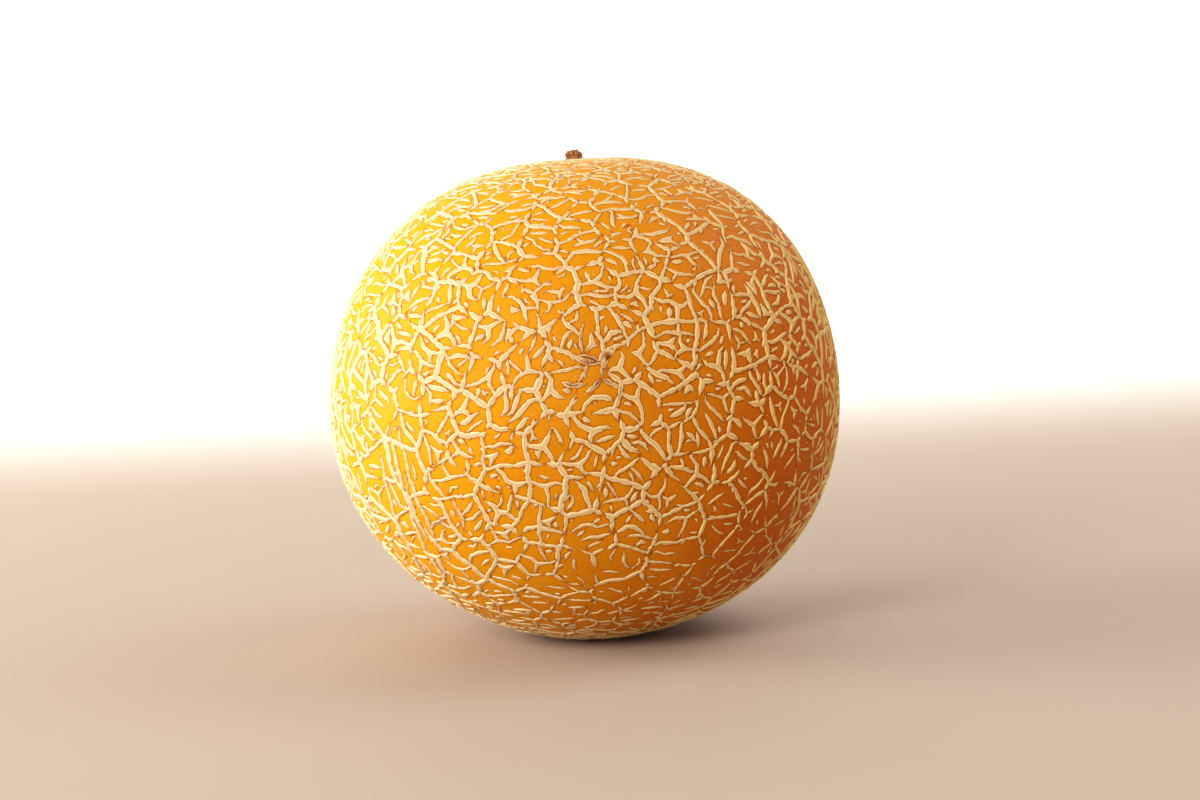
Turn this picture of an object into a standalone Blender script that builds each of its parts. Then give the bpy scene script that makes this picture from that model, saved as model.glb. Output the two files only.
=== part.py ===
# A whole netted melon, standing on its small flat spot, with the dry stub of its stem on top.
# Metres, +Z up. The origin is on the table, under the middle of the fruit, whose front looks along -Y.

import math
import random

import bmesh
import bpy
import numpy as np
from mathutils import Vector

MM = 0.001

# The fruit, measured from a middle that stands this high over the table
CENTRE_HEIGHT = 65.5 * MM
BODY_RADIUS = 69.0 * MM
OBLATE = 1.3 * MM
SHOULDERS = -0.65 * MM
BACK_SHOULDER = 0.5 * MM
# Lopsidedness of the front outline: the waves round it, and their height along the cosine and the sine
SWELLS = ((3, -0.48 * MM, 0.19 * MM), (5, -0.16 * MM, -0.31 * MM))

# The corky net, raised along the borders of irregular cells that grow long and low towards both ends
SEED = 41
CELLS = 660
CELL_SPACING = 6.9 * MM
POLAR_SQUASH = 1.8
SQUASH_FROM, SQUASH_TO = 0.45, 0.88
JUNCTION_MERGE = 1.7 * MM
RIDGE_HALF_WIDTH = 1.0 * MM
RIDGE_HEIGHT = 0.8 * MM
BROKEN_SHARE = 0.17

# The stem end: a slight dip, a raised ring round the scar, and the socket that the stub stands in
DIP_DEPTH = 0.7 * MM
DIP_RADIUS = 13 * MM
SCAR_SIDES = 12
SCAR_RADIUS = 5.6 * MM
SCAR_RIM = 0.9 * MM
SOCKET_RADIUS = 4.0 * MM
SOCKET_DEPTH = 1.2 * MM

# The stub of the stem
GAP = 0.3 * MM
STUB_SIDES = 20
STUB_RINGS = 8
STUB_HEIGHT = 3.9 * MM
STUB_FOOT_RADIUS = 3.45 * MM
STUB_WAIST_RADIUS = 2.3 * MM
STUB_TIP_RADIUS = 2.6 * MM
STUB_ROUNDING = 0.8 * MM
STUB_RIBS = 5
RIB_SHARE = 0.07
STUB_LEAN = 0.5 * MM
PITH_DEPTH = 0.35 * MM

RIND_COLOUR = (0.753, 0.266, 0.011)
CORK_COLOUR = (0.680, 0.448, 0.212)
STUB_COLOUR = (0.26, 0.115, 0.032)


def clear_scene():
    for obj in list(bpy.data.objects):
        bpy.data.objects.remove(obj, do_unlink=True)


def make_material(name, colour, roughness):
    made = bpy.data.materials.new(name)
    made.use_nodes = True
    shader = made.node_tree.nodes["Principled BSDF"]
    shader.inputs["Base Color"].default_value = (*colour, 1)
    shader.inputs["Roughness"].default_value = roughness
    shader.inputs["Metallic"].default_value = 0
    made.diffuse_color = (*colour, 1)
    return made


def add_object(name, shape, materials, collection):
    mesh = bpy.data.meshes.new(name)
    bmesh.ops.recalc_face_normals(shape, faces=shape.faces[:])
    shape.to_mesh(mesh)
    shape.free()
    mesh.shade_smooth()
    for made in materials:
        mesh.materials.append(made)
    collection.objects.link(bpy.data.objects.new(name, mesh))


def chance(direction, salt):
    """A number from 0 to 1 that a place on the fruit always gets, whatever the order of the mesh."""
    key = "".join(f"{round(part, 4) + 0.0:.4f}," for part in direction)
    return random.Random(f"{key}{salt}").random()


def smooth_step(low, high, value):
    share = min(1, max(0, (value - low) / (high - low)))
    return share * share * (3 - 2 * share)


def arc_from_top(direction):
    return math.acos(max(-1, min(1, direction.z))) * BODY_RADIUS


def rind_radius(direction):
    """Distance from the fruit's middle to its rind, where nothing flattens it."""
    x, y, z = direction
    level = 1 - z * z
    radius = BODY_RADIUS + OBLATE * (1 - 3 * z * z) + SHOULDERS * (8 * level * level - 8 * level + 1)
    for waves, along_cosine, along_sine in SWELLS:
        turned = complex(x, z) ** waves
        radius += along_cosine * turned.real + along_sine * turned.imag
    radius += BACK_SHOULDER * y * z
    return radius - DIP_DEPTH * math.exp(-((arc_from_top(direction) / DIP_RADIUS) ** 2))


def surface_point(direction, raised):
    """The point that far proud of the rind, or on the table where the fruit would reach below it."""
    reach = rind_radius(direction) + raised
    if direction.z < 0:
        reach = min(reach, CENTRE_HEIGHT / -direction.z)
    return direction * reach + Vector((0, 0, CENTRE_HEIGHT))


def stem_seeds():
    """The stem's own seed and a ring of them, which leave a regular cell of the scar's radius."""
    tilt = 2 * SCAR_RADIUS / BODY_RADIUS
    seeds = [(0, 0, 1)]
    for side in range(SCAR_SIDES):
        turn = 2 * math.pi * side / SCAR_SIDES
        seeds.append((math.sin(tilt) * math.cos(turn), math.sin(tilt) * math.sin(turn), math.cos(tilt)))
    return seeds


def scatter_seeds():
    """Directions of the cells' middles: darts on a unit sphere, each kept clear of those before it.

    Towards the ends of the fruit they may land closer from north to south, so the cells there are low.
    """
    draw = random.Random(SEED)
    seeds = stem_seeds() + [(0, 0, -1)]
    spacing = CELL_SPACING / BODY_RADIUS
    highest = math.cos(2.6 * SCAR_RADIUS / BODY_RADIUS)
    while len(seeds) < CELLS:
        z = draw.uniform(-1, highest)
        turn = draw.uniform(0, 2 * math.pi)
        flat = math.sqrt(1 - z * z)
        dart = (flat * math.cos(turn), flat * math.sin(turn), z)
        placed = np.array(seeds)
        northward = np.arcsin(placed[:, 2]) - math.asin(z)
        squash = 1 + (POLAR_SQUASH - 1) * smooth_step(SQUASH_FROM, SQUASH_TO, abs(z))
        apart = ((placed - dart) ** 2).sum(axis=1) + (squash * squash - 1) * northward**2
        if apart.min() > spacing * spacing:
            seeds.append(dart)
    return seeds


def make_cells(seeds):
    """Cells round the seeds on a unit sphere, with a corner along each hull triangle's normal."""
    hull = bmesh.new()
    for seed in seeds:
        hull.verts.new(seed)
    bmesh.ops.convex_hull(hull, input=hull.verts[:])
    bmesh.ops.triangulate(hull, faces=hull.faces[:])
    hull.normal_update()
    hull.faces.index_update()
    cells = bmesh.new()
    corners = [cells.verts.new(face.normal) for face in hull.faces]
    for seed in hull.verts:
        middle = seed.co.normalized()
        east = middle.orthogonal().normalized()
        north = middle.cross(east)
        ring = sorted(seed.link_faces, key=lambda face: math.atan2(face.normal @ north, face.normal @ east))
        cells.faces.new([corners[face.index] for face in ring])
    hull.free()
    bmesh.ops.remove_doubles(cells, verts=cells.verts[:], dist=JUNCTION_MERGE / BODY_RADIUS)
    return cells


def draw_in(floor):
    """Pulls a cell's floor in from its borders, which leaves a slope all round it for the net."""
    middle = sum((vert.co for vert in floor.verts), Vector()).normalized()
    reaches = [((edge.verts[0].co + edge.verts[1].co) / 2 - middle).length for edge in floor.edges]
    half_width = RIDGE_HALF_WIDTH * (0.8 + 0.4 * chance(middle, "width")) / BODY_RADIUS
    keep = max(0.35, 1 - half_width * len(reaches) / sum(reaches))
    for vert in floor.verts:
        vert.co = middle + (vert.co - middle) * keep


def break_ridge(edge, feet):
    """Puts a low point in a ridge, joined to the feet on both sides, so that the net stops there."""
    middle = ((edge.verts[0].co + edge.verts[1].co) / 2).normalized()
    _, gap = bmesh.utils.edge_split(edge, edge.verts[0], 0.3 + 0.4 * chance(middle, "place"))
    for foot in [vert for face in gap.link_faces for vert in face.verts if vert in feet]:
        shared = next(face for face in gap.link_faces if foot in face.verts)
        bmesh.utils.face_split(shared, gap, foot)


def ridge_height(direction):
    if arc_from_top(direction) < 1.5 * SCAR_RADIUS:
        return SCAR_RIM
    return RIDGE_HEIGHT * (0.8 + 0.4 * chance(direction, "height"))


def raise_net(cells):
    """Splits each cell into a floor and slopes, and lifts the borders between cells into ridges."""
    crests = set(cells.verts)
    borders = list(cells.edges)
    floors = list(cells.faces)
    bmesh.ops.inset_individual(cells, faces=floors, thickness=0)
    for slope in set(cells.faces) - set(floors):
        slope.material_index = 1
    for floor in floors:
        draw_in(floor)
    feet = set(cells.verts) - crests
    for edge in borders:
        middle = ((edge.verts[0].co + edge.verts[1].co) / 2).normalized()
        if arc_from_top(middle) > 2 * SCAR_RADIUS and chance(middle, "broken") < BROKEN_SHARE:
            break_ridge(edge, feet)
    for vert in cells.verts:
        direction = vert.co.normalized()
        vert.co = surface_point(direction, ridge_height(direction) if vert in crests else 0)


def sink_socket(cells):
    """Cuts a round socket into the cell at the stem, and gives the height of its level floor."""
    rounds = [face for face in cells.faces if len(face.verts) == SCAR_SIDES]
    floor = max(rounds, key=lambda face: face.calc_center_median().z)
    level = floor.calc_center_median().z
    bmesh.ops.inset_individual(cells, faces=[floor], thickness=0)
    for vert in floor.verts:
        outward = Vector((vert.co.x, vert.co.y, 0)).normalized()
        vert.co = outward * SOCKET_RADIUS + Vector((0, 0, level))
    bmesh.ops.inset_individual(cells, faces=[floor], thickness=0)
    for vert in floor.verts:
        vert.co.z = level - SOCKET_DEPTH
    return level - SOCKET_DEPTH


def stub_radius(rise):
    """Radius of the stub at a share of its height: a spreading foot, a waist and a rounded tip."""
    foot = (STUB_FOOT_RADIUS - STUB_WAIST_RADIUS) * (1 - smooth_step(0, 0.55, rise))
    tip = (STUB_TIP_RADIUS - STUB_WAIST_RADIUS) * smooth_step(0.4, 0.75, rise)
    return STUB_WAIST_RADIUS + foot + tip - STUB_ROUNDING * smooth_step(0.7, 1, rise)


def make_stub(standing_on):
    """The dry stem: a ribbed, leaning stub that ends in a shallow cup of pith."""
    stub = bmesh.new()
    bmesh.ops.create_cone(stub, cap_ends=True, segments=STUB_SIDES, radius1=1, radius2=1, depth=1)
    upright = [edge for edge in stub.edges if abs(edge.verts[0].co.z - edge.verts[1].co.z) > 0.5]
    bmesh.ops.subdivide_edges(stub, edges=upright, cuts=STUB_RINGS - 1)
    top = max(stub.faces, key=lambda face: face.calc_center_median().z)
    bmesh.ops.inset_individual(stub, faces=[top], thickness=0.3)
    pith = set(top.verts)
    for vert in stub.verts:
        rise = vert.co.z + 0.5
        turn = math.atan2(vert.co.y, vert.co.x)
        ribbed = 1 + RIB_SHARE * math.cos(STUB_RIBS * turn) * smooth_step(0, 0.3, rise)
        across = Vector((vert.co.x, vert.co.y, 0)) * stub_radius(rise) * ribbed
        height = STUB_HEIGHT * rise * (1 + 0.05 * math.cos(turn) * rise) - PITH_DEPTH * (vert in pith)
        lean = Vector((-STUB_LEAN * rise * rise, 0, 0))
        vert.co = across + lean + Vector((0, 0, standing_on + GAP + height))
    return stub


def make_melon():
    cells = make_cells(scatter_seeds())
    raise_net(cells)
    return cells, sink_socket(cells)


clear_scene()
fruit = bpy.data.collections.new("netted_melon")
bpy.context.scene.collection.children.link(fruit)
rind = make_material("ripe rind", RIND_COLOUR, 0.4)
cork = make_material("corky net", CORK_COLOUR, 0.85)
dry_stem = make_material("dry stem", STUB_COLOUR, 0.9)
melon, socket_floor = make_melon()
add_object("melon", melon, (rind, cork), fruit)
add_object("stem_stub", make_stub(socket_floor), (dry_stem,), fruit)
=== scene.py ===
import math
import random

import bmesh
import bpy
import numpy as np
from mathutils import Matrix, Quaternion, Vector, geometry


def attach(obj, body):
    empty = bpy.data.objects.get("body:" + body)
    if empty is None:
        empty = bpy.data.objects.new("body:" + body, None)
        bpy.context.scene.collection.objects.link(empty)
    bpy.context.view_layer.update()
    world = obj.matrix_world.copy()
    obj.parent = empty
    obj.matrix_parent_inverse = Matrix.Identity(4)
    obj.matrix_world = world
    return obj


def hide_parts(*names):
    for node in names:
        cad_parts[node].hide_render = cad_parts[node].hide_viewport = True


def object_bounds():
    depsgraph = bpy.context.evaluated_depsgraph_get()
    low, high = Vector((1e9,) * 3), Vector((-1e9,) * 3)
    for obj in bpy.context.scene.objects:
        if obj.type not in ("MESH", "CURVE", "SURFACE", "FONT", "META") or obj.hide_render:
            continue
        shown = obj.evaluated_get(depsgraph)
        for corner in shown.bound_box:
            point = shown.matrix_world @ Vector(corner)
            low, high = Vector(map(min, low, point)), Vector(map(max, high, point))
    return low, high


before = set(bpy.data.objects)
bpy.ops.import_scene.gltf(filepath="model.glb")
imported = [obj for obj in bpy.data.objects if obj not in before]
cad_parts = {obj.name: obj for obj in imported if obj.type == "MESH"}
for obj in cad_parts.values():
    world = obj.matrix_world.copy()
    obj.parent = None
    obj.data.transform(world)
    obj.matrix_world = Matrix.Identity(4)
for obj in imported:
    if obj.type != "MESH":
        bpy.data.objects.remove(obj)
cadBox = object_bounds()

mm = 0.001


# Colours and node helper

def colour(hexCode):  # an sRGB hex value as the linear colour that Blender's sockets take
    parts = [int(hexCode[place : place + 2], 16) / 255 for place in (1, 3, 5)]
    return (*[part / 12.92 if part <= 0.04045 else ((part + 0.055) / 1.055) ** 2.4 for part in parts], 1)


# Adds a node with its settings, the values of its sockets, a text being a hex colour, and its links
def addNode(tree, kind, settings=None, values=None, links=None):
    node = tree.nodes.new("ShaderNode" + kind)
    for name, value in (settings or {}).items():
        setattr(node, name, value)
    for socket, value in (values or {}).items():
        node.inputs[socket].default_value = colour(value) if isinstance(value, str) else value
    for socket, source in (links or {}).items():
        tree.links.new(source, node.inputs[socket])
    return node


multiplyAdd = {"operation": "MULTIPLY_ADD"}
multiplyAddClamped = {"operation": "MULTIPLY_ADD", "use_clamp": True}
colourMix = {"data_type": "RGBA"}
colourProduct = {"data_type": "RGBA", "blend_type": "MULTIPLY"}


def newMaterial(name):
    material = bpy.data.materials.new(name)
    material.use_nodes = True
    return material, material.node_tree, material.node_tree.nodes["Principled BSDF"]


# Gives a shader its colour, its bump from a height, and the values that are the same all over
def finishShader(tree, shader, tint, relief, look):
    strength, depth = look["bump"]
    bump = addNode(tree, "Bump", None, {"Strength": strength, "Distance": depth * mm}, {"Height": relief})
    tree.links.new(tint, shader.inputs["Base Color"])
    tree.links.new(bump.outputs["Normal"], shader.inputs["Normal"])
    shader.inputs["Roughness"].default_value = look["roughness"]
    shader.inputs["Specular IOR Level"].default_value = look["specular"]
    if "glow" in look:
        share, reach = look["glow"]
        shader.inputs["Subsurface Weight"].default_value = share
        shader.inputs["Subsurface Radius"].default_value = look["glowColour"]
        shader.inputs["Subsurface Scale"].default_value = reach * mm


# Camera: a short telephoto look, a little above the fruit's middle

view = {
    "frame": (1200, 800),
    "fruitMiddle": (586.6, 397.0),  # pixels in that frame
    "fruitWidth": 514.6,            # pixels, over the solid's net, which is a little taller than this one
    "aimHeight": 0.488,             # share of the solid's height that the camera looks at
    "distance": 600 * mm,
    "height": 112 * mm,
    "roll": 3.0,                    # degrees; the table rises to the right
    "sensor": 36.0,                 # millimetres
}


def makeCamera():
    low, high = cadBox
    radius = (high.x - low.x) / 2
    middle = Vector((0, 0, (high.z - low.z) * view["aimHeight"]))
    place = Vector((0, -view["distance"], view["height"]))
    reach = (middle - place).length
    focalPixels = view["fruitWidth"] / 2 / (radius / math.sqrt(reach**2 - radius**2))
    data = bpy.data.cameras.new("camera")
    data.sensor_width = view["sensor"]
    data.lens = focalPixels * view["sensor"] / view["frame"][0]
    data.shift_x = (view["frame"][0] / 2 - view["fruitMiddle"][0]) / view["frame"][0]
    data.shift_y = (view["fruitMiddle"][1] - view["frame"][1] / 2) / view["frame"][0]
    data.clip_start, data.clip_end = 0.01, 20
    camera = bpy.data.objects.new("camera", data)
    bpy.context.scene.collection.objects.link(camera)
    camera.rotation_mode = "QUATERNION"
    camera.location = place
    aim = (middle - place).to_track_quat("-Z", "Y")
    camera.rotation_quaternion = aim @ Quaternion((0, 0, 1), math.radians(-view["roll"]))
    bpy.context.scene.camera = camera
    return camera


camera = makeCamera()
print("camera ready")


# The fruit's form, the same as the solid's, on directions from its middle

form = {
    "middle": 65.5,          # millimetres over the table
    "radius": 69.0,
    "oblate": 1.3,
    "shoulders": -0.65,
    "backShoulder": 0.5,
    "swells": ((3, -0.48, 0.19), (5, -0.16, -0.31)),
    "dipDepth": 0.7,
    "dipRadius": 13.0,
}
centre = np.array((0, 0, form["middle"]))


def unit(vectors):
    return vectors / np.linalg.norm(vectors, axis=-1, keepdims=True)


def rindRadius(direction):
    x, y, z = direction[..., 0], direction[..., 1], direction[..., 2]
    level = 1 - z * z
    radius = form["radius"] + form["oblate"] * (1 - 3 * z * z)
    radius = radius + form["shoulders"] * (8 * level * level - 8 * level + 1)
    for waves, alongCosine, alongSine in form["swells"]:
        turned = (x + 1j * z) ** waves
        radius = radius + alongCosine * turned.real + alongSine * turned.imag
    fromTop = np.arccos(np.clip(z, -1, 1)) * form["radius"]
    dip = form["dipDepth"] * np.exp(-((fromTop / form["dipRadius"]) ** 2))
    return radius + form["backShoulder"] * y * z - dip


def toTable(direction):  # how far the table is from the fruit's middle, along directions that point down
    return form["middle"] / np.maximum(-direction[:, 2], 0.2)


def onFruit(direction, raised):  # points in metres that far proud of the rind, none of them below the table
    reach = np.minimum(rindRadius(direction) + raised, toTable(direction))
    return (centre + direction * reach[:, None]) * mm


def fromPhoto(pixel):  # what a pixel of the photograph shows, as a place on the sphere of the fruit's radius
    wide, high = view["frame"]
    lens = camera.data.lens / view["sensor"]
    across = ((pixel[0] - wide / 2) / wide + camera.data.shift_x) / lens
    up = ((high / 2 - pixel[1]) / wide + camera.data.shift_y) / lens
    ray = unit(np.array(camera.rotation_quaternion @ Vector((across, up, -1))))
    start = np.array(camera.location) / mm - centre
    reach = form["radius"]
    for _ in range(8):
        middle = -(start @ ray)
        inside = max(0, reach * reach - (start @ start - middle * middle))
        direction = unit(start + ray * (middle - math.sqrt(inside)))
        reach = rindRadius(direction)
    return direction * form["radius"]


def ripple(points, waveLength, seed):  # smooth noise from -1 to 1: a few crossed waves of about that length
    draw = np.random.default_rng(seed)
    total = np.zeros(len(points))
    for _ in range(6):
        along = unit(draw.normal(size=3)) * 2 * math.pi / (waveLength * draw.uniform(0.7, 1.4))
        total += np.sin(points @ along + draw.uniform(0, 2 * math.pi))
    return total / 3.4  # about the most that six of them add up to


def ramp(value, start, span):  # from 0 at the start to 1 a span further on
    return np.clip((value - start) / span, 0, 1)


# The net as lines: each station is a point on a sphere of the fruit's radius, with a half-width there

net = {
    "seed": 12,
    "step": 0.5,                   # millimetres between stations, and all lengths here are millimetres
    "mainHalfWidth": (0.54, 0.9),  # the solid's ridges, with the part that sinks into the rind
    "halfWidth": (0.4, 0.76),      # the cracks between them
    "endThinning": 0.3,            # how much thinner ridges are toward the stem and the underside
    "endRoom": 0.1,                # how much further apart cracks start there
    "endLevelling": 0.75,          # and how level they lie
    "thinFrom": (0.4, 0.4),        # where each sets in, as a share of the way up or down, and over how much
    "roomFrom": (0.4, 0.3),
    "levelFrom": (0.42, 0.3),
    "height": 0.33,
    "unevenHeight": 0.16,          # the share by which it varies
    "fullHalfWidth": 0.5,          # the half-width of a ridge of that height
    "sunk": 0.2,                   # how deep its sides reach into the rind
    "sides": (0.85, 0.15),         # where they turn down, as a share of the half-width, and over how much
    "crest": 0.4,                  # points of the solid this far over the rind are on its ridges
    "run": (1.8, 4.2),             # a ridge is a chain of straight spindles about this long
    "spindleWidth": (0.8, 1.15),   # as a share of the ridge's
    "kink": 0.6,                   # how far their ends stand off the line
    "pinch": 0.6,                  # their width where two meet
    "spurs": 0.5,                  # how often a spindle overshoots where two meet
    "spurTurn": (0.3, 0.9),        # radians between the spur and the line
    "spurSteps": (4, 6),           # stations on it, with the one on the line
    "spurWidth": 0.8,
    "taper": 0.62,                 # the share of its length over which a line is drawn to a point
    "passing": 0.42,               # the share of the solid's ridges drawn as two lines that pass each other
    "aside": 0.35,                 # how far each of the two stands aside
    "bend": (0.2, 0.75),           # radians that a growing crack turns after a run
    "wander": 0.05,                # and at each step
    "join": 0.7,                   # a growing crack this near a ridge runs into it or stops
    "facing": 0.6,                 # the share of cracks that start square to the nearest ridge or along it
    "armSpread": 0.22,             # radians by which arms leave an even star
    "web": 0.35,                   # how much wider the arms of a star are at its middle
    "webReach": 0.8,
    "rounds": (                    # darts, clear space, arms' length, shares with three and joining, width
        (16000, 2.5, (4.6, 7.6), 0.4, 0.93, 1.0),
        (16000, 1.9, (2.2, 4.4), 0.25, 0.64, 0.92),
        (10000, 1.4, (1.0, 2.6), 0.12, 0.36, 0.82),
        (3500, 1.15, (0.8, 1.4), 0.0, 0.2, 0.7),
        (600, 1.1, (0.3, 0.5), 0.0, 0.0, 0.5),
    ),
    "stemRoom": 8.2,               # no crack starts this near the stem
    "spare": 7.0,                  # or this near the blossom end
    "restGap": 0.15,               # no net where the rind comes this near the table that it rests on
    "weld": 0.1,                   # points this near each other become one
    "longestSide": 1.6,            # of a triangle
}

# What stands out in one place of the photograph, by its pixels: long cracks, a star, knots, scars, thin net
marks = {
    "cracks": (                        # the pixels along each, and its half-width in millimetres
        (((389, 424), (398, 468), (411, 512), (436, 566), (452, 590)), 0.62),
        (((397, 420), (407, 462), (421, 508), (440, 548)), 0.55),
        (((380, 448), (388, 490), (402, 532), (423, 570)), 0.6),
        (((404, 470), (415, 515), (432, 545)), 0.5),
        (((602, 378), (602, 368), (608, 357), (617, 347)), 0.6),
        (((602, 378), (594, 387), (584, 394)), 0.75),
        (((602, 378), (612, 384), (623, 389)), 0.7),
        (((577, 356), (588, 358), (600, 362)), 0.95),
        (((561, 382), (572, 386), (587, 384)), 0.8),
        (((586, 320), (580, 340), (583, 354)), 0.5),
    ),
    "swells": (                        # pixel, radius in millimetres, how much wider or thinner the net is
        ((657, 236), 2.6, 1.15), ((664, 216), 1.6, 0.8), ((672, 322), 2.0, 0.6), ((655, 455), 2.4, 0.5),
        ((745, 545), 22.0, -0.5), ((600, 600), 20.0, -0.3), ((815, 430), 20.0, -0.35),
        ((405, 480), 28.0, -0.14),
    ),
    "scars": (                         # pixel, radius in millimetres, strength
        ((589, 359), 2.6, 0.95), ((608, 357), 1.0, 1.8), ((600, 381), 2.6, 1.0), ((572, 384), 2.0, 0.75),
        ((617, 395), 2.2, 0.45), ((582, 338), 1.6, 0.6), ((533, 409), 0.5, 2.4), ((630, 388), 0.45, 2.4),
        ((437, 521), 3.0, 0.7), ((455, 508), 2.0, 0.5), ((556, 497), 1.0, 0.5), ((812, 470), 4.5, 0.5),
    ),
}


# The solid's own ridges: lines between junctions, and two that stop short where one is broken
def ridgesOfSolid(node):
    opposite = -0.97  # the cosine between two ways that are as good as opposite
    mesh = node.data
    mesh.calc_loop_triangles()
    places = np.array([vert.co for vert in mesh.vertices], float) / mm
    _, first, welded = np.unique(np.round(places, 3), axis=0, return_index=True, return_inverse=True)
    places, welded = places[first], welded.reshape(-1)
    faces = welded[np.array([list(face.vertices) for face in mesh.loop_triangles])]
    pairs = np.concatenate([faces[:, [0, 1]], faces[:, [1, 2]], faces[:, [2, 0]]])
    pairs = np.unique(np.sort(pairs, axis=1), axis=0)
    away = places - centre
    direction = unit(away)
    crest = np.linalg.norm(away, axis=1) - rindRadius(direction) > net["crest"]
    lines = [(direction[a], direction[b], True) for a, b in pairs if crest[a] and crest[b]]
    beside = {}
    for a, b in pairs:
        if crest[a] != crest[b]:
            low, high = (b, a) if crest[a] else (a, b)
            beside.setdefault(low, []).append(high)
    for low, highs in beside.items():
        for place, a in enumerate(highs):
            for b in highs[place + 1 :]:
                if unit(direction[a] - direction[low]) @ unit(direction[b] - direction[low]) < opposite:
                    lines += [(direction[a], direction[low], False), (direction[b], direction[low], False)]
    return lines


class Grid:
    size = 2.4
    farthest = 3.0

    def __init__(self):
        self.boxes = {}

    def add(self, points):
        for point in points:
            key = tuple(int(part // self.size) for part in point)
            self.boxes.setdefault(key, []).append(tuple(point))

    def nearest(self, point):
        x, y, z = point
        i, j, k = (int(part // self.size) for part in point)
        best, found = self.farthest**2, None
        for a in (i - 1, i, i + 1):
            for b in (j - 1, j, j + 1):
                for c in (k - 1, k, k + 1):
                    for other in self.boxes.get((a, b, c), ()):
                        away = (other[0] - x) ** 2 + (other[1] - y) ** 2 + (other[2] - z) ** 2
                        if away < best:
                            best, found = away, other
        return math.sqrt(best), found


# Half-width along a line as a share: whole, or drawn to a point at an end that is free
def tapered(count, first, last):
    along = np.linspace(0, 1, count)
    share = np.ones(count)
    if not first:
        share = np.minimum(share, (along / net["taper"]) ** 0.8)
    if not last:
        share = np.minimum(share, ((1 - along) / net["taper"]) ** 0.8)
    return np.maximum(share, 0.02)


# Stations and width shares of a ridge between two directions, and the spurs at its knots
def chain(start, stop, draw):
    radius = form["radius"]
    length = np.linalg.norm(stop - start) * radius
    ends = [0.0]
    while length - ends[-1] > net["run"][1]:
        ends.append(ends[-1] + draw.uniform(*net["run"]))
    ends.append(length)
    offs = [0, *[draw.uniform(-1, 1) * net["kink"] for _ in ends[2:]], 0]
    along = np.linspace(0, length, max(3, round(length / net["step"]) + 1))
    side = unit(np.cross(start + stop, stop - start))
    aside = np.interp(along, ends, offs)[:, None]
    place = start + (stop - start) * (along / length)[:, None] + side * aside / radius
    points = unit(place) * radius
    spindle = np.searchsorted(ends, along, "right").clip(1, len(ends) - 1)
    first, last = np.array(ends)[spindle - 1], np.array(ends)[spindle]
    swell = np.sin(ramp(along, first, last - first) * math.pi) ** 0.7
    size = np.array([draw.uniform(*net["spindleWidth"]) for _ in ends])[spindle]
    share = net["pinch"] + (size - net["pinch"]) * swell
    spurs = []
    for knot in range(1, len(ends) - 1):
        if draw.random() < net["spurs"]:
            place = int(np.searchsorted(along, ends[knot]))
            if 2 < place < len(points) - 3:
                heading = unit(points[place] - points[place + draw.choice((-2, 2))])
                turn = draw.uniform(*net["spurTurn"]) * draw.choice((-1, 1))
                side = np.cross(points[place] / radius, heading)
                heading = heading * math.cos(turn) + side * math.sin(turn)
                reach = np.arange(1, draw.randint(*net["spurSteps"])) * net["step"]
                tip = unit(points[place] + heading * reach[:, None]) * radius
                spurs.append(np.concatenate([points[place][None], tip]))
    return points, share, spurs


def addChain(lines, start, stop, width, draw, first=True, last=True):
    points, share, spurs = chain(start, stop, draw)
    lines.append((points, width * share * tapered(len(points), first, last)))
    for spur in spurs:
        lines.append((spur, width * net["spurWidth"] * tapered(len(spur), True, False)))


# A ridge of the solid: one line, or two that pass each other or stop short
def mainLines(lines, start, stop, whole, draw):
    width = draw.uniform(*net["mainHalfWidth"])
    if not whole:
        addChain(lines, start, stop, width, draw, True, False)
        return
    if draw.random() > net["passing"]:
        addChain(lines, start, stop, width, draw)
        return
    side = unit(np.cross(start, stop)) * draw.choice((-net["aside"], net["aside"])) / form["radius"]
    cut = draw.uniform(0.4, 0.6)
    over = draw.uniform(-0.08, 0.06)
    addChain(lines, start, unit(start + (stop - start) * (cut + over) + side), width, draw, True, False)
    addChain(lines, stop, unit(start + (stop - start) * (cut - over) - side), width, draw, True, False)


# A crack runs from a point until it tires or nears a ridge
def growArm(start, heading, reach, joins, grid, draw):
    radius = form["radius"]
    path = [start]
    point = start
    straight = draw.uniform(*net["run"])
    for _ in range(max(1, round(reach / net["step"]))):
        straight -= net["step"]
        turn = draw.gauss(0, net["wander"])
        if straight < 0:
            straight = draw.uniform(*net["run"])
            turn = draw.uniform(*net["bend"]) * draw.choice((-1, 1))
        side = np.cross(point / radius, heading)
        heading = unit(heading * math.cos(turn) + side * math.sin(turn))
        point = unit(point + heading * net["step"]) * radius
        gap, met = grid.nearest(point)
        if gap < net["join"]:
            if not joins:
                return path, False
            path.append(np.array(met))
            return path, True
        path.append(point)
    return path, False


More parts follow.
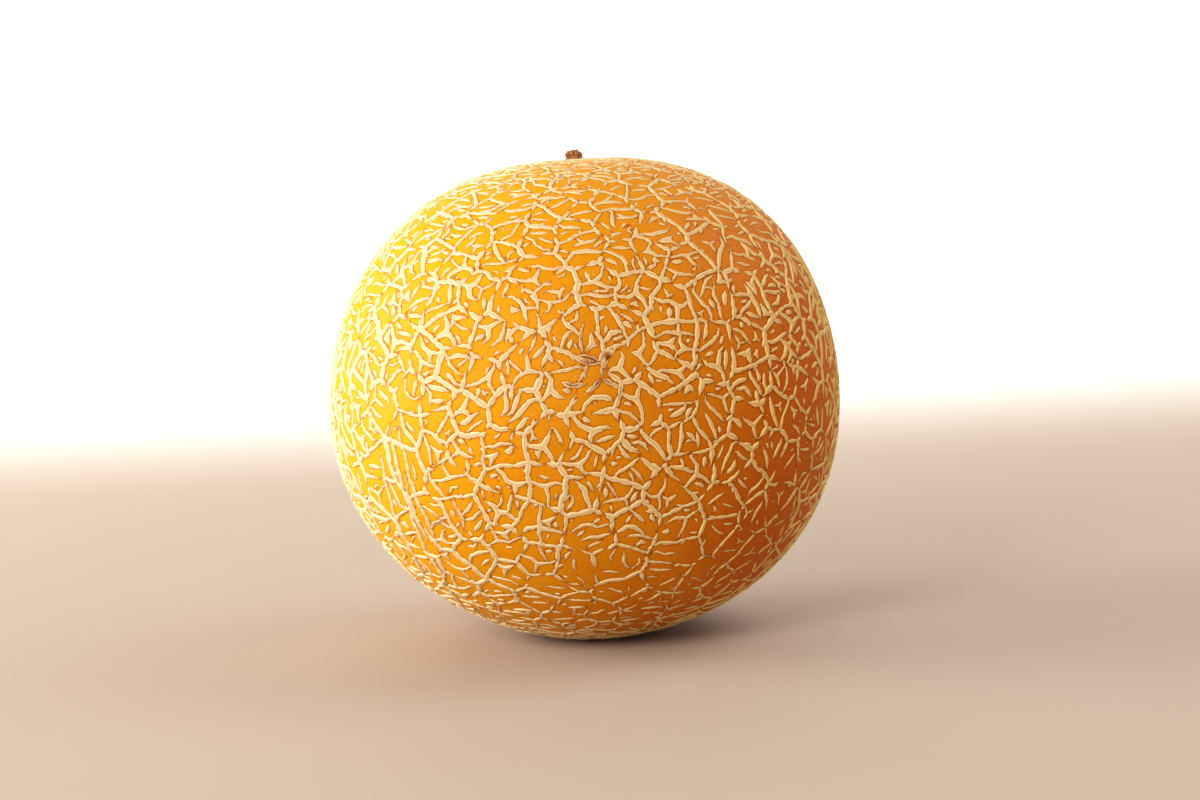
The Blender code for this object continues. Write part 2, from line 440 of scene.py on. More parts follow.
# Splits the solid's cells with finer ridges, then adds lenses, stars and specks
def growCracks(lines, grid, draw):
    radius = form["radius"]
    lowest = -math.cos(net["spare"] / radius)
    highest = math.cos(net["stemRoom"] / radius)
    thin = [(fromPhoto(pixel), size, -extra) for pixel, size, extra in marks["swells"] if extra < 0]
    for darts, clear, reaches, threes, joining, wide in net["rounds"]:
        for _ in range(darts):
            z = draw.uniform(lowest, highest)
            flat, turn = math.sqrt(1 - z * z), draw.uniform(0, 2 * math.pi)
            point = np.array((flat * math.cos(turn), flat * math.sin(turn), z)) * radius
            near, found = grid.nearest(point)
            if near < clear:
                continue
            bare = 0
            for middle, size, extra in thin:
                bare += extra * math.exp(-((point - middle) @ (point - middle)) / size**2)
            if near < clear * (1 + bare + net["endRoom"] * ramp(abs(z), *net["roomFrom"])):
                continue
            east = unit(np.array((-point[1], point[0], 0)))
            north = np.cross(point / radius, east)
            steepness = 1 - net["endLevelling"] * ramp(abs(z), *net["levelFrom"])
            aim = draw.uniform(0, 2 * math.pi)
            if found and draw.random() < net["facing"]:  # across where there is room, else along
                toward = np.array(found) - point
                aim = math.atan2(toward @ north, toward @ east) + (0 if clear > 2 else math.pi / 2)
            arms = 3 if draw.random() < threes else 2
            width = draw.uniform(*net["halfWidth"]) * wide
            made = []
            for arm in range(arms):
                angle = aim + 2 * math.pi * arm / arms + draw.gauss(0, net["armSpread"])
                heading = unit(east * math.cos(angle) + north * math.sin(angle) * steepness)
                joins = draw.random() < joining
                path, joined = growArm(point, heading, draw.uniform(*reaches), joins, grid, draw)
                widths = width * tapered(len(path), True, joined)
                if joined:
                    widths = widths * np.linspace(1, net["pinch"], len(path))
                if arms == 3:
                    fromMiddle = np.arange(len(path)) * net["step"]
                    widths = widths * (1 + net["web"] * np.exp(-fromMiddle / net["webReach"]))
                made.append((np.array(path), widths))
            for path, widths in made:
                if len(path) > 1:
                    grid.add(path)
                    lines.append((path, widths))
        print(f"clear of {clear} mm: {len(lines)} lines")


def markedCracks(lines, draw):
    for pixels, width in marks["cracks"]:
        corners = [fromPhoto(pixel) / form["radius"] for pixel in pixels]
        for place, (first, last) in enumerate(zip(corners, corners[1:])):
            addChain(lines, first, last, width, draw, place > 0, place < len(corners) - 2)


def swellNet(lines):  # widens or thins the ridges in places
    longestLine = 8
    for points, widths in lines:
        high = np.abs(points[:, 2]) / form["radius"]
        widths *= 1 - net["endThinning"] * ramp(high, *net["thinFrom"])
    for pixel, radius, extra in marks["swells"]:
        middle = fromPhoto(pixel)
        for points, widths in lines:
            if np.linalg.norm(points[0] - middle) < 2 * radius + longestLine:
                widths *= 1 + extra * np.exp(-((np.linalg.norm(points - middle, axis=1) / radius) ** 2))


def growNet():
    draw = random.Random(net["seed"])
    grid = Grid()
    lines = []
    for start, stop, whole in ridgesOfSolid(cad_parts["melon"]):
        mainLines(lines, start, stop, whole, draw)
    markedCracks(lines, draw)
    for points, _ in lines:
        grid.add(points)
    solidRidges = len(lines)
    growCracks(lines, grid, draw)
    swellNet(lines)
    length = sum(np.linalg.norm(np.diff(points, axis=0), axis=1).sum() for points, _ in lines)
    area = 4 * math.pi * form["radius"] ** 2
    print(f"net lines {solidRidges} + {len(lines) - solidRidges}, {length / area:.3f} mm of ridge per mm2")
    return lines


# How near points are to the net, found through boxes that hold its segments

boxSize = 1.7  # millimetres, over the widest half-width and half a segment
boxKeys = np.array((1, 1000, 1000000))


def boxOf(points):
    return (np.floor(points / boxSize).astype(np.int64) + 300) @ boxKeys


# The share of a ridge's half-width that each is from the middle line, its gap to the side, and the half-width
def nearNet(points, starts, stops, firstWidths, lastWidths):
    farOff = 9.0
    order = np.argsort(boxOf((starts + stops) / 2), kind="stable")
    boxes = boxOf((starts + stops) / 2)[order]
    here = boxOf(points)
    share = np.full(len(points), farOff)
    gap = np.full(len(points), farOff)
    fullness = np.zeros(len(points))
    offsets = [np.array((a, b, c)) @ boxKeys for a in (-1, 0, 1) for b in (-1, 0, 1) for c in (-1, 0, 1)]
    for offset in offsets:
        first = np.searchsorted(boxes, here + offset, "left")
        count = np.searchsorted(boxes, here + offset, "right") - first
        if not count.sum():
            continue
        which = np.repeat(np.arange(len(points)), count)
        within = np.arange(count.sum()) - np.repeat(np.cumsum(count) - count, count)
        segment = order[np.repeat(first, count) + within]
        run = stops[segment] - starts[segment]
        away = points[which] - starts[segment]
        along = np.clip((away * run).sum(1) / np.maximum((run * run).sum(1), 1e-9), 0, 1)
        distance = np.linalg.norm(away - run * along[:, None], axis=1)
        width = firstWidths[segment] * (1 - along) + lastWidths[segment] * along
        np.minimum.at(share, which, distance / width)
        np.minimum.at(gap, which, distance - width)
        np.maximum.at(fullness, which, np.where(distance < width, width, 0))
    return share, gap, fullness


rows = (0, -0.45, 0.45, -0.84, 0.84, -1, 1)         # shares of the half-width, to either side
thinnest = {0: 0, 0.45: 0.25, 0.84: 0.16, 1: 0.08}  # half-widths under which a row is left out


def stationsOf(lines):  # rows of points along and beside each line, with the row that each is in
    points, places = [], []
    for line, widths in lines:
        run = np.gradient(line, axis=0)
        side = unit(np.cross(unit(line), run))
        for row in rows:
            wide = widths > thinnest[abs(row)]
            points.append((line + side * (widths * row)[:, None])[wide])
            places.append(np.full(wide.sum(), abs(row)))
    return unit(np.concatenate(points)) * form["radius"], np.concatenate(places)


def flatMap(direction):  # the fruit laid out flat from its underside, in which nothing crosses
    return direction[:, :2] / (1 + direction[:, 2:3])


def triangles(direction):  # a skin of triangles over points of the fruit, all facing outward
    places = [Vector(place) for place in flatMap(direction).tolist()]
    _, _, faces, originals, _, _ = geometry.delaunay_2d_cdt(places, [], [], 0, 1e-7)
    keep = np.array([group[0] if group else -1 for group in originals])
    faces = keep[np.array(faces)]
    faces = faces[(faces >= 0).all(1)]
    a, b, c = (direction[faces[:, column]] for column in range(3))
    outward = (np.cross(b - a, c - a) * a).sum(1) > 0
    faces[~outward] = faces[~outward][:, ::-1]
    return faces


def layOut(direction, facing):  # flat places for directions round the one faced, with areas kept
    facing = unit(np.array(facing, float))
    east = unit(np.cross((0, 0, 1), facing))
    north = np.cross(facing, east)
    spread = 1 / np.sqrt(2 * (1 + direction @ facing))
    return np.stack([direction @ east, direction @ north], axis=-1) * spread[:, None]


def meshObject(name, points, faces, attributes, material, normals=None):  # with a value for each point
    used, index = np.unique(faces, return_inverse=True)
    mesh = bpy.data.meshes.new(name)
    mesh.from_pydata(points[used].tolist(), [], index.reshape(-1, 3).tolist())
    for title, values in attributes.items():
        layer = mesh.attributes.new(title, "FLOAT", "POINT")
        layer.data.foreach_set("value", values[used].astype(np.float32))
    mesh.shade_smooth()
    mesh.materials.append(material)
    made = bpy.data.objects.new(name, mesh)
    bpy.context.scene.collection.objects.link(made)
    if normals is not None:
        mesh.normals_split_custom_set_from_vertices(normals[used].tolist())
    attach(made, "root")
    return made


quarterReach = 0.44  # how far a quarter of the fruit reaches to each side in such flat places
halfReach = 0.74     # how far half of it does, and every piece up and down


# A picture layout: one view of the piece from each way that it faces, side by side
def bakeLayout(made, facings, halfWidth):
    edge = 0.002
    mesh = made.data
    places = np.array([vert.co for vert in mesh.vertices]) / mm - centre
    loops = np.array([loop.vertex_index for loop in mesh.loops])
    middles = np.array([face.center for face in mesh.polygons]) / mm - centre
    facings = np.array(facings, float)
    nearest = np.argmax(unit(middles) @ unit(facings).T, axis=1)
    nearest = np.repeat(nearest, [face.loop_total for face in mesh.polygons])
    spots = np.zeros((len(loops), 2))
    for number, facing in enumerate(facings):
        here = nearest == number
        flat = layOut(unit(places[loops[here]]), facing)
        spots[here] = flat / (2 * halfWidth, 2 * halfReach) + (0.5, 0.5)
        spots[here, 0] = (np.clip(spots[here, 0], edge, 1 - edge) + number) / len(facings)
    layer = mesh.uv_layers.new(name="OFBake")
    layer.data.foreach_set("uv", spots.astype(np.float32).ravel())


# Faces count by the area that they cover on the fruit, which keeps flat tops flat
def vertexNormals(points, faces):
    tiny = 1e-20
    a, b, c = (points[faces[:, column]] for column in range(3))
    across = np.cross(b - a, c - a)
    outward = unit((a + b + c) / 3 - centre * mm)
    covered = np.maximum((across * outward).sum(axis=1), 0)
    flat = across * (covered / np.maximum(np.linalg.norm(across, axis=1), tiny))[:, None]
    normals = np.zeros_like(points)
    for column in range(3):
        np.add.at(normals, faces[:, column], flat)
    return normals / np.maximum(np.linalg.norm(normals, axis=1, keepdims=True), tiny)


# Ripeness and painted shade: 0 on the side that had the sun, high on the left, and 1 on the side that lay in
# shade; as the lamps stand on the left, this also paints the side away from them in shade

ripeAndShade = {
    "toShade": (0.85, 0.0, -0.25),
    "steepness": 0.8,
    "blotch": 0.16,
    "blotchSize": 16.0,  # millimetres
}


def ripenessAndPaintedShade(tree, place):
    steep = ripeAndShade["steepness"] / (form["radius"] * mm)
    toShade = [part * steep for part in ripeAndShade["toShade"]]
    slope = addNode(tree, "VectorMath", {"operation": "DOT_PRODUCT"}, {1: toShade},
                    {0: place}).outputs["Value"]
    blotches = addNode(tree, "TexNoise", None, {"Scale": 1 / (ripeAndShade["blotchSize"] * mm), "Detail": 2},
                       {"Vector": place}).outputs["Fac"]
    level = 0.5 - toShade[2] * form["middle"] * mm - ripeAndShade["blotch"]
    moved = addNode(tree, "Math", multiplyAdd,
                    {1: 2 * ripeAndShade["blotch"], 2: level}, {0: blotches}).outputs[0]
    return addNode(tree, "Math", {"operation": "ADD", "use_clamp": True}, None,
                   {0: slope, 1: moved}).outputs[0]


# Corky net: dry periderm, grown where the skin cracked, so it is matt, pale at its edges and split on top

corkLook = {
    # sunny and shaded are a lit and a painted-shade copy of the cork's colour; the shaded one is deeper and
    # more orange
    "sunny": "#F6ECC9",
    "shaded": "#F4CE82",
    "crown": "#ECDED0",            # multiplies the colour on top of a ridge
    "edge": "#FFFBEE",             # multiplies it at the sides
    "edgeShares": (0.4, 0.8),      # of the half-width, between which the one gives way to the other
    "split": "#7E4420",
    "splitShare": 0.3,
    "splitScarred": 0.9,           # how much more of it shows on a scar
    "splitWidth": (-0.24, 0.22),   # as a share of the half-width before the grain opens it; more on a scar
    "splitGrain": 0.7,
    "scar": "#C07B42",
    "scarGrain": (0.1, 1.6),       # a scar's strength is times this, as the grain goes from 0 to 1
    "scarLeast": 0.12,             # taken off, so that weak scars don't stain
    "burn": "#2E110A",
    "burnFrom": (1.2, 1.9),        # scars of this strength are burnt dark
    "grain": 0.35,                 # millimetres
    "bump": (0.5, 0.1),            # strength, and depth in millimetres
    "roughness": 0.85,
    "specular": 0.2,
    "glow": (0.1, 1.0),            # share of light that enters, and how far it wanders in millimetres
    "glowColour": (1.0, 0.5, 0.2),
}


def corkMaterial():
    material, tree, shader = newMaterial("dry corky net")
    share = addNode(tree, "Attribute", {"attribute_name": "share"}).outputs["Fac"]
    scar = addNode(tree, "Attribute", {"attribute_name": "scar"}).outputs["Fac"]
    place = addNode(tree, "TexCoord").outputs["Object"]
    grain = addNode(tree, "TexNoise", None, {"Scale": 1 / (corkLook["grain"] * mm), "Detail": 3},
                    {"Vector": place}).outputs["Fac"]
    low, high = corkLook["edgeShares"]
    toEdge = addNode(tree, "MapRange", {"interpolation_type": "SMOOTHSTEP"},
                     {"From Min": low, "From Max": high}, {"Value": share}).outputs["Result"]
    # painted shade: the cork turns to its shaded copy on the side away from the lamps
    body = addNode(tree, "Mix", colourMix, {"A": corkLook["sunny"], "B": corkLook["shaded"]},
                   {"Factor": ripenessAndPaintedShade(tree, place)}).outputs["Result"]
    tint = addNode(tree, "Mix", colourMix, {"A": corkLook["crown"], "B": corkLook["edge"]},
                   {"Factor": toEdge}).outputs["Result"]
    body = addNode(tree, "Mix", colourProduct, {"Factor": 1.0}, {"A": body, "B": tint}).outputs["Result"]
    closed, wider = corkLook["splitWidth"]
    opened = addNode(tree, "Math", multiplyAdd, {1: wider, 2: closed},
                     {0: scar}).outputs[0]
    wander = addNode(tree, "Math", multiplyAdd, {1: corkLook["splitGrain"]},
                     {0: grain, 2: opened}).outputs[0]
    nearMiddle = addNode(tree, "Math", {"operation": "LESS_THAN"}, None,
                         {0: share, 1: wander}).outputs[0]
    torn = addNode(tree, "Math", multiplyAddClamped,
                   {1: corkLook["splitScarred"], 2: corkLook["splitShare"]}, {0: scar}).outputs[0]
    split = addNode(tree, "Math", {"operation": "MULTIPLY"}, None, {0: nearMiddle, 1: torn}).outputs[0]
    least, more = corkLook["scarGrain"]
    uneven = addNode(tree, "Math", multiplyAdd, {1: more, 2: least},
                     {0: grain}).outputs[0]
    stain = addNode(tree, "Math", multiplyAddClamped,
                    {2: -corkLook["scarLeast"]}, {0: scar, 1: uneven}).outputs[0]
    stained = addNode(tree, "Mix", colourMix, {"B": corkLook["scar"]},
                      {"Factor": stain, "A": body}).outputs["Result"]
    lined = addNode(tree, "Mix", colourMix, {"B": corkLook["split"]},
                    {"Factor": split, "A": stained}).outputs["Result"]
    low, high = corkLook["burnFrom"]
    burn = addNode(tree, "MapRange", None, {"From Min": low, "From Max": high},
                   {"Value": scar}).outputs["Result"]
    burnt = addNode(tree, "Mix", colourMix, {"B": corkLook["burn"]},
                    {"Factor": burn, "A": lined}).outputs["Result"]
    finishShader(tree, shader, burnt, grain, corkLook)
    return material


# Ripe rind: thin waxy skin over wet flesh, so it is smooth with a soft sheen, and light wanders inside it

rind = {
    "points": 88000,
    "spotRadius": 7.5,          # millimetres; one flat face lies inside it, where the fruit rests
    "rimSides": 64,
    "rimInset": 0.6,
    "pillow": (0.14, 0.9),      # how far the rind swells between ridges, and the gap over which it does
    "swell": 0.05,              # and wide, slow unevenness
    # sunny and shaded: partly uneven ripening and partly painted shade, deeper orange on the side away from
    # the lamps
    "sunny": "#F8B402",
    "shaded": "#C96100",
    # painted shade: the rind is darkened toward this colour in a thin band beside the net, where the ridges
    # would shade it
    "paintedShadeByNet": "#8E3C02",
    "paintedShadeByNetShare": 0.62,
    "paintedShadeByNetReach": 0.34,          # millimetres from the net
    "blossom": "#A8763F",
    "blossomRadius": 5.4,       # millimetres; the corky scar of the flower, on the underside
    "blossomRagged": 3.0,       # how unevenly its edge runs
    "blossomFade": 0.5,
    "mottle": "#EFDCC0",        # multiplies the colour in places
    "mottleSize": 0.9,          # millimetres
    "speck": "#FFCF70",
    "speckShare": 0.6,
    "speckSpacing": 1.7,        # millimetres
    "speckEdge": (0.13, 0.05),  # shares of the spacing between which a speck fades in
    "poreSize": 0.5,            # millimetres; real pores are finer, and this is coarse enough to show
    "bump": (0.25, 0.05),       # strength, and depth in millimetres
    "roughness": 0.6,
    "specular": 0.1,
    "glow": (0.2, 2.0),         # share of light that enters, and how far it wanders in millimetres
    "glowColour": (1.0, 0.42, 0.08),
}


def rindMaterial():
    material, tree, shader = newMaterial("ripe waxy rind")
    gap = addNode(tree, "Attribute", {"attribute_name": "gap"}).outputs["Fac"]
    place = addNode(tree, "TexCoord").outputs["Object"]
    # painted shade mixed with ripening: deeper orange toward the side away from the lamps
    ground = addNode(tree, "Mix", colourMix, {"A": rind["sunny"], "B": rind["shaded"]},
                     {"Factor": ripenessAndPaintedShade(tree, place)}).outputs["Result"]
    # painted shade beside the ridges: darkest at the net's edge, fading a short way off
    beside = addNode(tree, "MapRange", {"interpolation_type": "SMOOTHSTEP"},
                     {"From Min": rind["paintedShadeByNetReach"], "From Max": 0.0, "To Max": rind["paintedShadeByNetShare"]},
                     {"Value": gap}).outputs["Result"]
    mottle = addNode(tree, "TexNoise", None, {"Scale": 1 / (rind["mottleSize"] * mm), "Detail": 4},
                     {"Vector": place}).outputs["Fac"]
    mottled = addNode(tree, "Mix", colourProduct, {"B": rind["mottle"]},
                      {"Factor": mottle, "A": ground}).outputs["Result"]
    # paints that shade onto the rind
    shaded = addNode(tree, "Mix", colourMix, {"B": rind["paintedShadeByNet"]},
                     {"Factor": beside, "A": mottled}).outputs["Result"]
    cells = addNode(tree, "TexVoronoi", None, {"Scale": 1 / (rind["speckSpacing"] * mm)},
                    {"Vector": place}).outputs["Distance"]
    outer, inner = rind["speckEdge"]
    dots = addNode(tree, "MapRange", None,
                   {"From Min": outer, "From Max": inner, "To Max": rind["speckShare"]},
                   {"Value": cells}).outputs["Result"]
    speckled = addNode(tree, "Mix", colourMix, {"B": rind["speck"]},
                       {"Factor": dots, "A": shaded}).outputs["Result"]
    pores = addNode(tree, "TexNoise", None, {"Scale": 1 / (rind["poreSize"] * mm), "Detail": 2},
                    {"Vector": place}).outputs["Fac"]
    away = addNode(tree, "VectorMath", {"operation": "LENGTH"}, None, {0: place}).outputs["Value"]
    ragged = addNode(tree, "Math", multiplyAdd, {1: rind["blossomRagged"] * mm},
                     {0: pores, 2: away}).outputs[0]
    edge = (rind["blossomRadius"] + rind["blossomRagged"] / 2) * mm
    blossom = addNode(tree, "MapRange", None,
                      {"From Min": edge + rind["blossomFade"] * mm, "From Max": edge},
                      {"Value": ragged}).outputs["Result"]
    scarred = addNode(tree, "Mix", colourMix, {"B": rind["blossom"]},
                      {"Factor": blossom, "A": speckled}).outputs["Result"]
    finishShader(tree, shader, scarred, pores, rind)
    return material


def makeRind(segments, material):
    spot = rind["spotRadius"]
    index = np.arange(rind["points"]) + 0.5
    z = 1 - 2 * index / rind["points"]
    turn = index * math.pi * (3 - math.sqrt(5))
    flat = np.sqrt(1 - z * z)
    direction = np.stack([flat * np.cos(turn), flat * np.sin(turn), z], axis=1)
    direction = direction[z > -math.cos(spot / form["radius"])]
    around = np.arange(rind["rimSides"]) * 2 * math.pi / rind["rimSides"]
    tilt = (spot - rind["rimInset"]) / form["radius"]
    east, north = math.sin(tilt) * np.cos(around), math.sin(tilt) * np.sin(around)
    rim = np.stack([east, north, np.full(rind["rimSides"], -math.cos(tilt))], axis=1)
    direction = np.concatenate([direction, rim])
    faces = triangles(direction)
    points = direction * form["radius"]
    _, gap, _ = nearNet(points, *segments)
    swelling, reach = rind["pillow"]
    pillow = swelling * (1 - np.exp(-np.clip(gap, 0, 3) / reach))
    pillow = pillow + rind["swell"] * ripple(points, waveLength=9, seed=5)
    places = onFruit(direction, pillow - rind["swell"])
    made = meshObject("melon_rind", places, faces, {"gap": np.clip(gap, -1, 4)}, material)
    closing = bmesh.new()
    closing.from_mesh(made.data)
    bmesh.ops.holes_fill(closing, edges=closing.edges[:], sides=0)
    closing.to_mesh(made.data)
    closing.free()
    bakeLayout(made, [(0, -1, 0), (0, 1, 0)], halfReach)
    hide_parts("melon")
    print(made.name, len(made.data.polygons), "faces")


# Build the net

def segmentsOf(lines):
    narrowest = 0.03
    starts = np.concatenate([line[:-1] for line, _ in lines])
    stops = np.concatenate([line[1:] for line, _ in lines])
    firstWidths = np.concatenate([widths[:-1] for _, widths in lines])
    lastWidths = np.concatenate([widths[1:] for _, widths in lines])
    return starts, stops, np.maximum(firstWidths, narrowest), np.maximum(lastWidths, narrowest)


def scarsAt(points):  # how strong the marked scars are there
    total = np.zeros(len(points))
    for pixel, radius, strength in marks["scars"]:
        total += strength * np.exp(-((np.linalg.norm(points - fromPhoto(pixel), axis=1) / radius) ** 2))
    return total


def border(faces):  # the points on edges that have one face alone
    edges = np.concatenate([faces[:, [0, 1]], faces[:, [1, 2]], faces[:, [2, 0]]])
    edges, count = np.unique(np.sort(edges, axis=1), axis=0, return_counts=True)
    return np.unique(edges[count == 1])


def netHeight(points, share, fullness):  # flat on top, rounded at the sides, which sink into the rind
    tall = np.clip(fullness / net["fullHalfWidth"], 0.35, 1.15) ** 0.6  # thin ridges are lower
    tall = tall * (1 + net["unevenHeight"] * ripple(points, waveLength=5, seed=3))
    return net["height"] * tall * (1 - share**8) - net["sunk"] * ramp(share, *net["sides"])


def makeNet(lines, segments, material):
    points, places = stationsOf(lines)
    share, _, _ = nearNet(points, *segments)
    notInside = share > places - 0.1  # leaves out points that another ridge covers
    points, places = points[notInside], places[notInside]
    order = np.argsort(places, kind="stable")
    _, first = np.unique(np.round(points[order] / net["weld"]), axis=0, return_index=True)
    points = points[order][np.sort(first)]
    direction = unit(points)
    share, _, fullness = nearNet(points, *segments)
    faces = triangles(direction)
    facing = unit(points[faces].mean(axis=1))
    middleShare, _, _ = nearNet(facing * form["radius"], *segments)
    sides = np.linalg.norm(points[faces] - points[np.roll(faces, 1, axis=1)], axis=2).max(axis=1)
    offTable = rindRadius(facing) + net["restGap"] < toTable(facing)
    covered = (middleShare < 0.99) & (sides < net["longestSide"]) & offTable  # triangles that lie on a ridge
    faces, facing = faces[covered], facing[covered]
    share = np.clip(share, 0, 1)
    share[border(faces)] = 1
    places = onFruit(direction, netHeight(points, share, fullness))
    normals = vertexNormals(places, faces)
    quarter = ((np.arctan2(facing[:, 1], facing[:, 0]) + math.pi) // (math.pi / 2)).astype(int) % 4
    values = {"share": share, "scar": scarsAt(points)}
    for number, title in enumerate(("left_front", "right_front", "right_back", "left_back")):
        made = meshObject(f"net_{title}", places, faces[quarter == number], values, material, normals)
        turn = (number + 0.5) * math.pi / 2 - math.pi
        bakeLayout(made, [(math.cos(turn), math.sin(turn), 0)], quarterReach)
        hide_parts("melon")
        print(made.name, len(made.data.polygons), "triangles")


# Stem stub: dry wood, ribbed and split along its length, with a paler broken top

stub = {
    "sides": 96,
    "rings": 44,
    "capRings": 14,
    "foot": 3.38,           # millimetres, as are the other lengths; these three are radii
    "waist": 2.25,
    "tip": 2.55,
    "narrowing": 1.1,       # of the broken end
    "ribs": 5,
    "rib": 0.06,            # as a share of the radius
    "fibres": 0.1,
    "ragged": 0.14,
    "cup": 0.35,            # how deep the pith has shrunk
    "slant": 0.045,
    "below": 0.22,          # how far the top stays under the solid's
    "lean": 0.5,
    "bark": "#B9834A",
    "crack": "#5E381C",
    "cracks": (-0.9, 0.8),  # the fibres' depth at which the crack colour is full, and its share there
    "pith": "#C9975C",
    "dulled": "#C9A98C",    # multiplies the colour in places
    "grain": 0.4,
    "bump": (0.6, 0.15),    # strength and depth
    "roughness": 0.9,
    "specular": 0.2,
}


def stubRadius(rise):  # from a spreading foot by the waist to a rounded tip
    def smooth(low, high):
        share = ramp(rise, low, high - low)
        return share * share * (3 - 2 * share)
    foot, waist, tip = stub["foot"], stub["waist"], stub["tip"]
    radius = waist + (foot - waist) * (1 - smooth(0, 0.55)) + (tip - waist) * smooth(0.4, 0.75)
    return radius - stub["narrowing"] * smooth(0.66, 1)


def makeStub():
    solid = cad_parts["stem_stub"]
    heights = [vert.co.z / mm for vert in solid.data.vertices]
    low, high = min(heights), max(heights)
    turn = np.linspace(0, 2 * math.pi, stub["sides"], endpoint=False)
    rise = np.concatenate([np.linspace(0, 1, stub["rings"]), np.ones(stub["capRings"])])
    inward = np.concatenate([np.ones(stub["rings"]), np.linspace(0.94, 0.04, stub["capRings"])])
    rise, inward, around = rise[:, None], inward[:, None], turn[None, :]
    ribs = stub["rib"] * np.cos(stub["ribs"] * around) * np.minimum(1, rise * 3)
    radius = stubRadius(rise) * (1 + ribs)
    east, north = np.cos(around) * 3 + 0 * rise, np.sin(around) * 3 + 0 * rise
    strands = np.stack([east, north, rise * 0.9 + 0 * around], axis=-1).reshape(-1, 3)  # run upward
    fibres = ripple(strands, waveLength=1.0, seed=8).reshape(rise.shape[0], -1)
    radius = (radius + stub["fibres"] * (fibres - 1) * np.minimum(1, rise * 4)) * inward
    drawnIn = strands * inward.repeat(len(turn), axis=1).reshape(-1, 1)
    ragged = ripple(drawnIn, waveLength=1.6, seed=4).reshape(radius.shape)
    cup = stub["cup"] * (1 - ramp(inward, 0.45, 0.5))
    slant = stub["slant"]
    top = (high - low - stub["below"]) * rise * (1 + slant * np.cos(around) * rise) / (1 + slant)
    height = top - cup * rise + stub["ragged"] * ragged * rise**6
    x = radius * np.cos(around) - stub["lean"] * rise * rise
    y = radius * np.sin(around)
    points = np.stack([x, y, np.clip(low + height, low, high)], axis=-1).reshape(-1, 3)
    count, sides = len(rise), stub["sides"]
    ring = np.arange(sides)
    after = (ring + 1) % sides
    faces = []
    for row in range(count - 1):
        a, b = row * sides + ring, row * sides + after
        faces += [np.stack([a, b, b + sides], axis=1), np.stack([a, b + sides, a + sides], axis=1)]
    points = np.concatenate([points, [[0, 0, low]], points[-sides:].mean(axis=0)[None]])
    faces.append(np.stack([after, ring, np.full(sides, len(points) - 2)], axis=1))
    last = (count - 1) * sides
    faces.append(np.stack([last + ring, last + after, np.full(sides, len(points) - 1)], axis=1))
    split = np.concatenate([fibres.ravel(), [0, 0]])
    pith = np.concatenate([np.broadcast_to((rise >= 1) * (1 - inward), radius.shape).ravel(), [0, 1]])
    values = {"split": split, "pith": pith}
    made = meshObject("stem_stub_dry", points * mm, np.concatenate(faces), values, stubMaterial())
    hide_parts("stem_stub")
    print(made.name, len(made.data.polygons), "triangles")


def stubMaterial():
    material, tree, shader = newMaterial("dry woody stem")
    split = addNode(tree, "Attribute", {"attribute_name": "split"}).outputs["Fac"]
    pith = addNode(tree, "Attribute", {"attribute_name": "pith"}).outputs["Fac"]
    place = addNode(tree, "TexCoord").outputs["Object"]
    grain = addNode(tree, "TexNoise", None, {"Scale": 1 / (stub["grain"] * mm), "Detail": 4},
                    {"Vector": place}).outputs["Fac"]
    deepest, crackShare = stub["cracks"]
    between = addNode(tree, "MapRange", None,
                      {"From Min": 0.0, "From Max": deepest, "To Max": crackShare},
                      {"Value": split}).outputs["Result"]
    bark = addNode(tree, "Mix", colourMix, {"A": stub["bark"], "B": stub["crack"]},
                   {"Factor": between}).outputs["Result"]
    toPith = addNode(tree, "MapRange", None, {"From Min": 0.02, "From Max": 0.3},
                     {"Value": pith}).outputs["Result"]
    body = addNode(tree, "Mix", colourMix, {"B": stub["pith"]},
                   {"Factor": toPith, "A": bark}).outputs["Result"]
    dulled = addNode(tree, "Mix", colourProduct, {"B": stub["dulled"]},
                     {"Factor": grain, "A": body}).outputs["Result"]
    finishShader(tree, shader, dulled, grain, stub)
    return material


lines = growNet()
segments = segmentsOf(lines)
makeNet(lines, segments, corkMaterial())
makeRind(segments, rindMaterial())
makeStub()


# Studio: a pale sweep and soft light, strongest from the left and behind

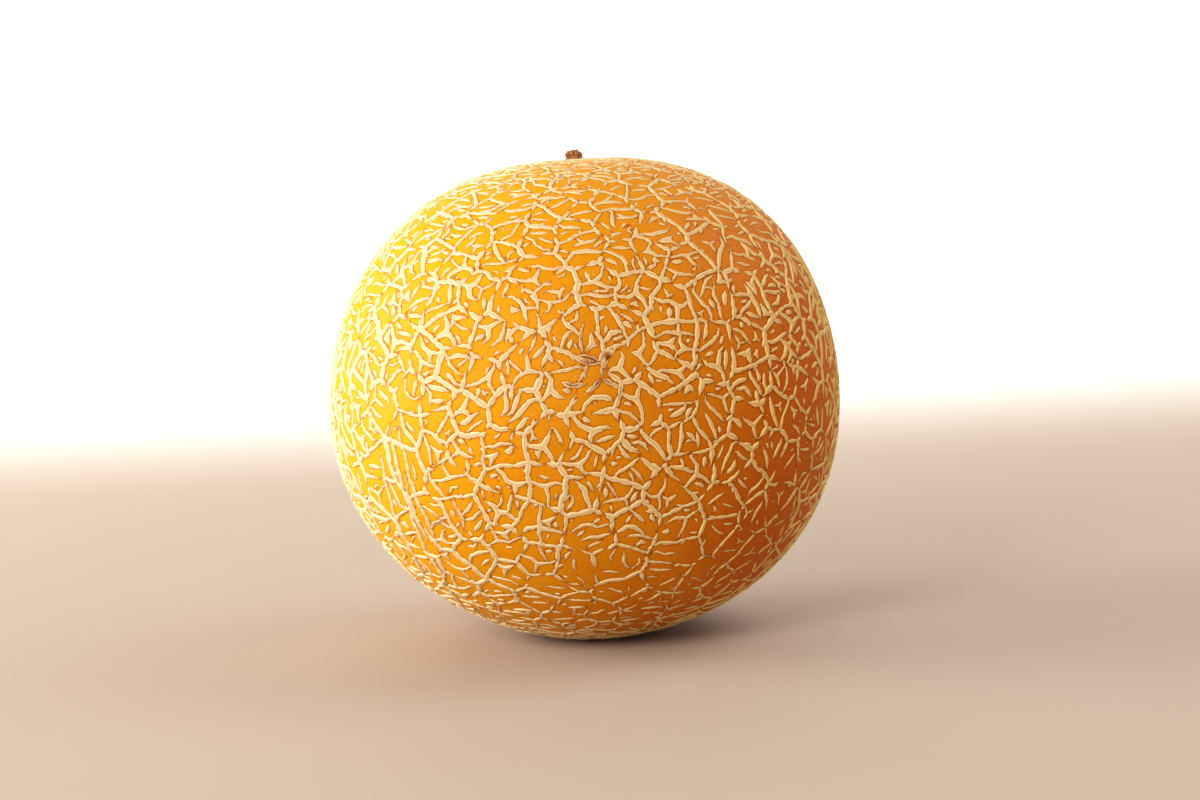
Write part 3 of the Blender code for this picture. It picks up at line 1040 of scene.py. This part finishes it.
studio = {
    "floor": "#B6A391",
    "wall": "#FBF8F3",
    "wallFrom": (0.35, 1.0),  # metres behind the fruit over which the one colour gives way to the other
    "bendFrom": 0.9,          # metres behind it where the floor starts to bend up
    "bendRadius": 0.7,
    "reach": 3.0,             # metres to the front, the sides and up
    "roughness": 0.75,
    "sky": "#FFFCF7",
    "skyStrength": 0.51,
    "lights": (  # name, place and what it points at in metres, size, watts, colour
        ("leftBack", (-0.95, 0.12, 0.3), (0, 0, 0.06), 0.55, 10.8, "#FFFCF6"),
        ("key", (-0.5, -0.85, 0.5), (0, 0, 0.06), 0.35, 6.8, "#FFFBF4"),
        ("right", (0.62, 0.12, 0.72), (0, 0, 0.06), 0.5, 3.0, "#FFFFFF"),
        ("wall", (0, 0.6, 1.3), (0, 1.6, 0.9), 1.2, 17.0, "#FFFFFF"),
    ),
}


def makeStudio():
    reach, back, bend = studio["reach"], studio["bendFrom"], studio["bendRadius"]
    profile = [(-reach, 0.0), (back, 0.0)]
    for turn in np.linspace(0.1, math.pi / 2, 14):
        profile.append((back + bend * math.sin(turn), bend - bend * math.cos(turn)))
    profile.append((back + bend, reach))
    points = [(x, y, z) for y, z in profile for x in (-reach, reach)]
    faces = [(2 * row, 2 * row + 1, 2 * row + 3, 2 * row + 2) for row in range(len(profile) - 1)]
    mesh = bpy.data.meshes.new("floor")
    mesh.from_pydata(points, [], faces)
    mesh.shade_smooth()
    material, tree, shader = newMaterial("pale matt floor")
    place = addNode(tree, "TexCoord").outputs["Object"]
    behind = addNode(tree, "SeparateXYZ", None, None, {"Vector": place}).outputs["Y"]
    low, high = studio["wallFrom"]
    toWall = addNode(tree, "MapRange", {"interpolation_type": "SMOOTHSTEP"},
                     {"From Min": low, "From Max": high}, {"Value": behind}).outputs["Result"]
    paint = addNode(tree, "Mix", colourMix, {"A": studio["floor"], "B": studio["wall"]},
                    {"Factor": toWall}).outputs["Result"]
    tree.links.new(paint, shader.inputs["Base Color"])
    shader.inputs["Roughness"].default_value = studio["roughness"]
    mesh.materials.append(material)
    floor = bpy.data.objects.new("floor", mesh)
    bpy.context.scene.collection.objects.link(floor)
    for name, place, aim, size, watts, tint in studio["lights"]:
        data = bpy.data.lights.new(name, "AREA")
        data.size = size
        data.energy = watts
        data.color = colour(tint)[:3]
        light = bpy.data.objects.new(name, data)
        light.location = place
        light.rotation_euler = (Vector(aim) - Vector(place)).to_track_quat("-Z", "Y").to_euler()
        bpy.context.scene.collection.objects.link(light)
    world = bpy.data.worlds.new("studio")
    world.use_nodes = True
    backdrop = world.node_tree.nodes["Background"]
    backdrop.inputs["Color"].default_value = colour(studio["sky"])
    backdrop.inputs["Strength"].default_value = studio["skyStrength"]
    bpy.context.scene.world = world
    bpy.context.scene.view_settings.view_transform = "Standard"


makeStudio()
print("studio ready")
